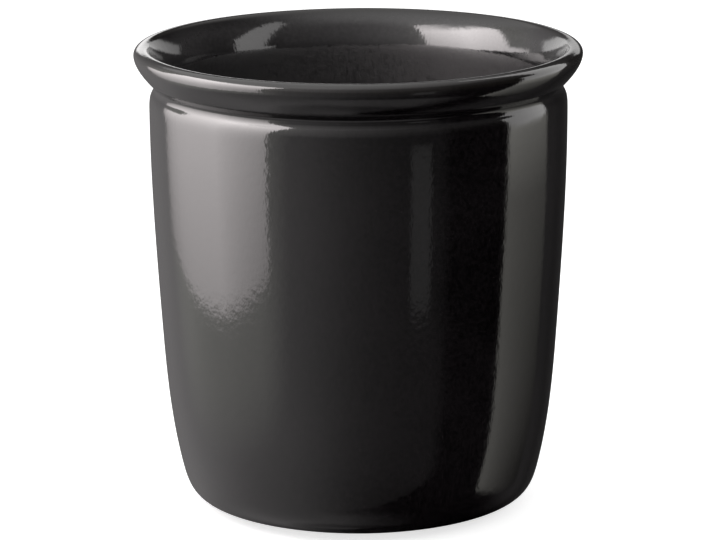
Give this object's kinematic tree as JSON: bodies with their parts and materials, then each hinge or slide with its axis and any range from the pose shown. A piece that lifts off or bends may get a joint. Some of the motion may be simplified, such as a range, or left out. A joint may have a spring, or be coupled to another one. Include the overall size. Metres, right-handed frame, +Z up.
{
  "type": "pickle crock",
  "caption": "Open glazed stoneware crock with a flared, rolled lip over a neck crease and a tapering wall on a bare foot ring, for salting and pickling food.",
  "frame": {"origin": "centre of the foot ring on the standing face", "axes": "+Z up along the crock's axis of turning, towards the mouth; X and Y are alike"},
  "size_m": [0.1984, 0.1984, 0.207],
  "materials": {
    "bare_clay": "bare fired clay, fine grained and matt",
    "dark_glaze": "glossy anthracite glaze with a slightly wavy surface"
  },
  "bodies": {
    "root": {"stoneware_body": "bare_clay", "glaze_coat": "dark_glaze", "base_glaze": "dark_glaze"}
  },
  "joints": []
}
